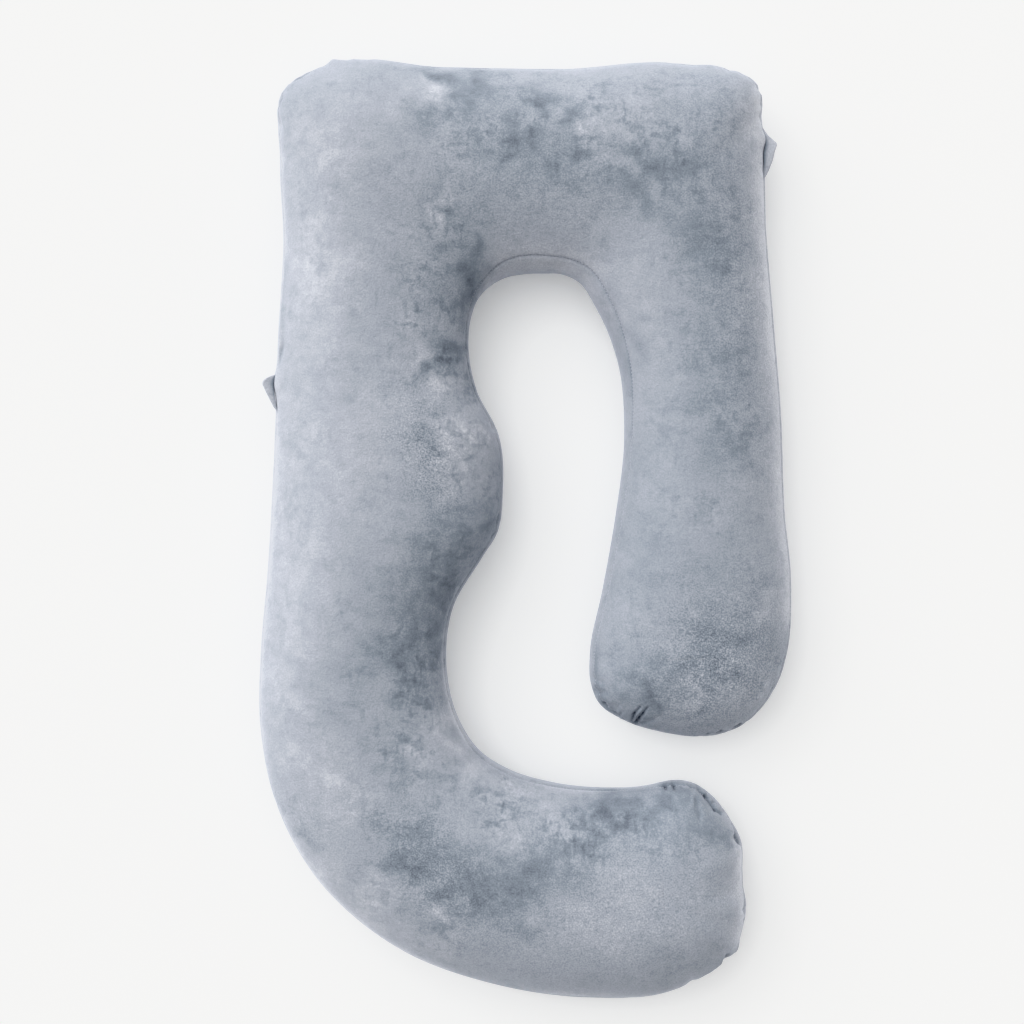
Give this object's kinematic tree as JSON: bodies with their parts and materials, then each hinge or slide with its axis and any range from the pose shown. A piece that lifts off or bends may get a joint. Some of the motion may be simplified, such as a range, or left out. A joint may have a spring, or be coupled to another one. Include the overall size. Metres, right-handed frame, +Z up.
{
  "type": "body pillow",
  "caption": "Long filled body pillow bent like a crook: a short arm, a squarish top, a full long side and a leg that curls back under the arm, with small tabs sewn into its edge.",
  "frame": {"origin": "middle of the whole object's box, on the surface it lies on", "axes": "+Z up; +Y along the long side towards the squarish top; +X towards the short arm"},
  "size_m": [0.7896, 1.397, 0.1763],
  "materials": {
    "velour": "short-pile velour, soft sheen, nap brushed in cloudy patches"
  },
  "bodies": {
    "root": {"pillow": "velour", "tab_right": "velour", "tab_left": "velour"}
  },
  "joints": []
}
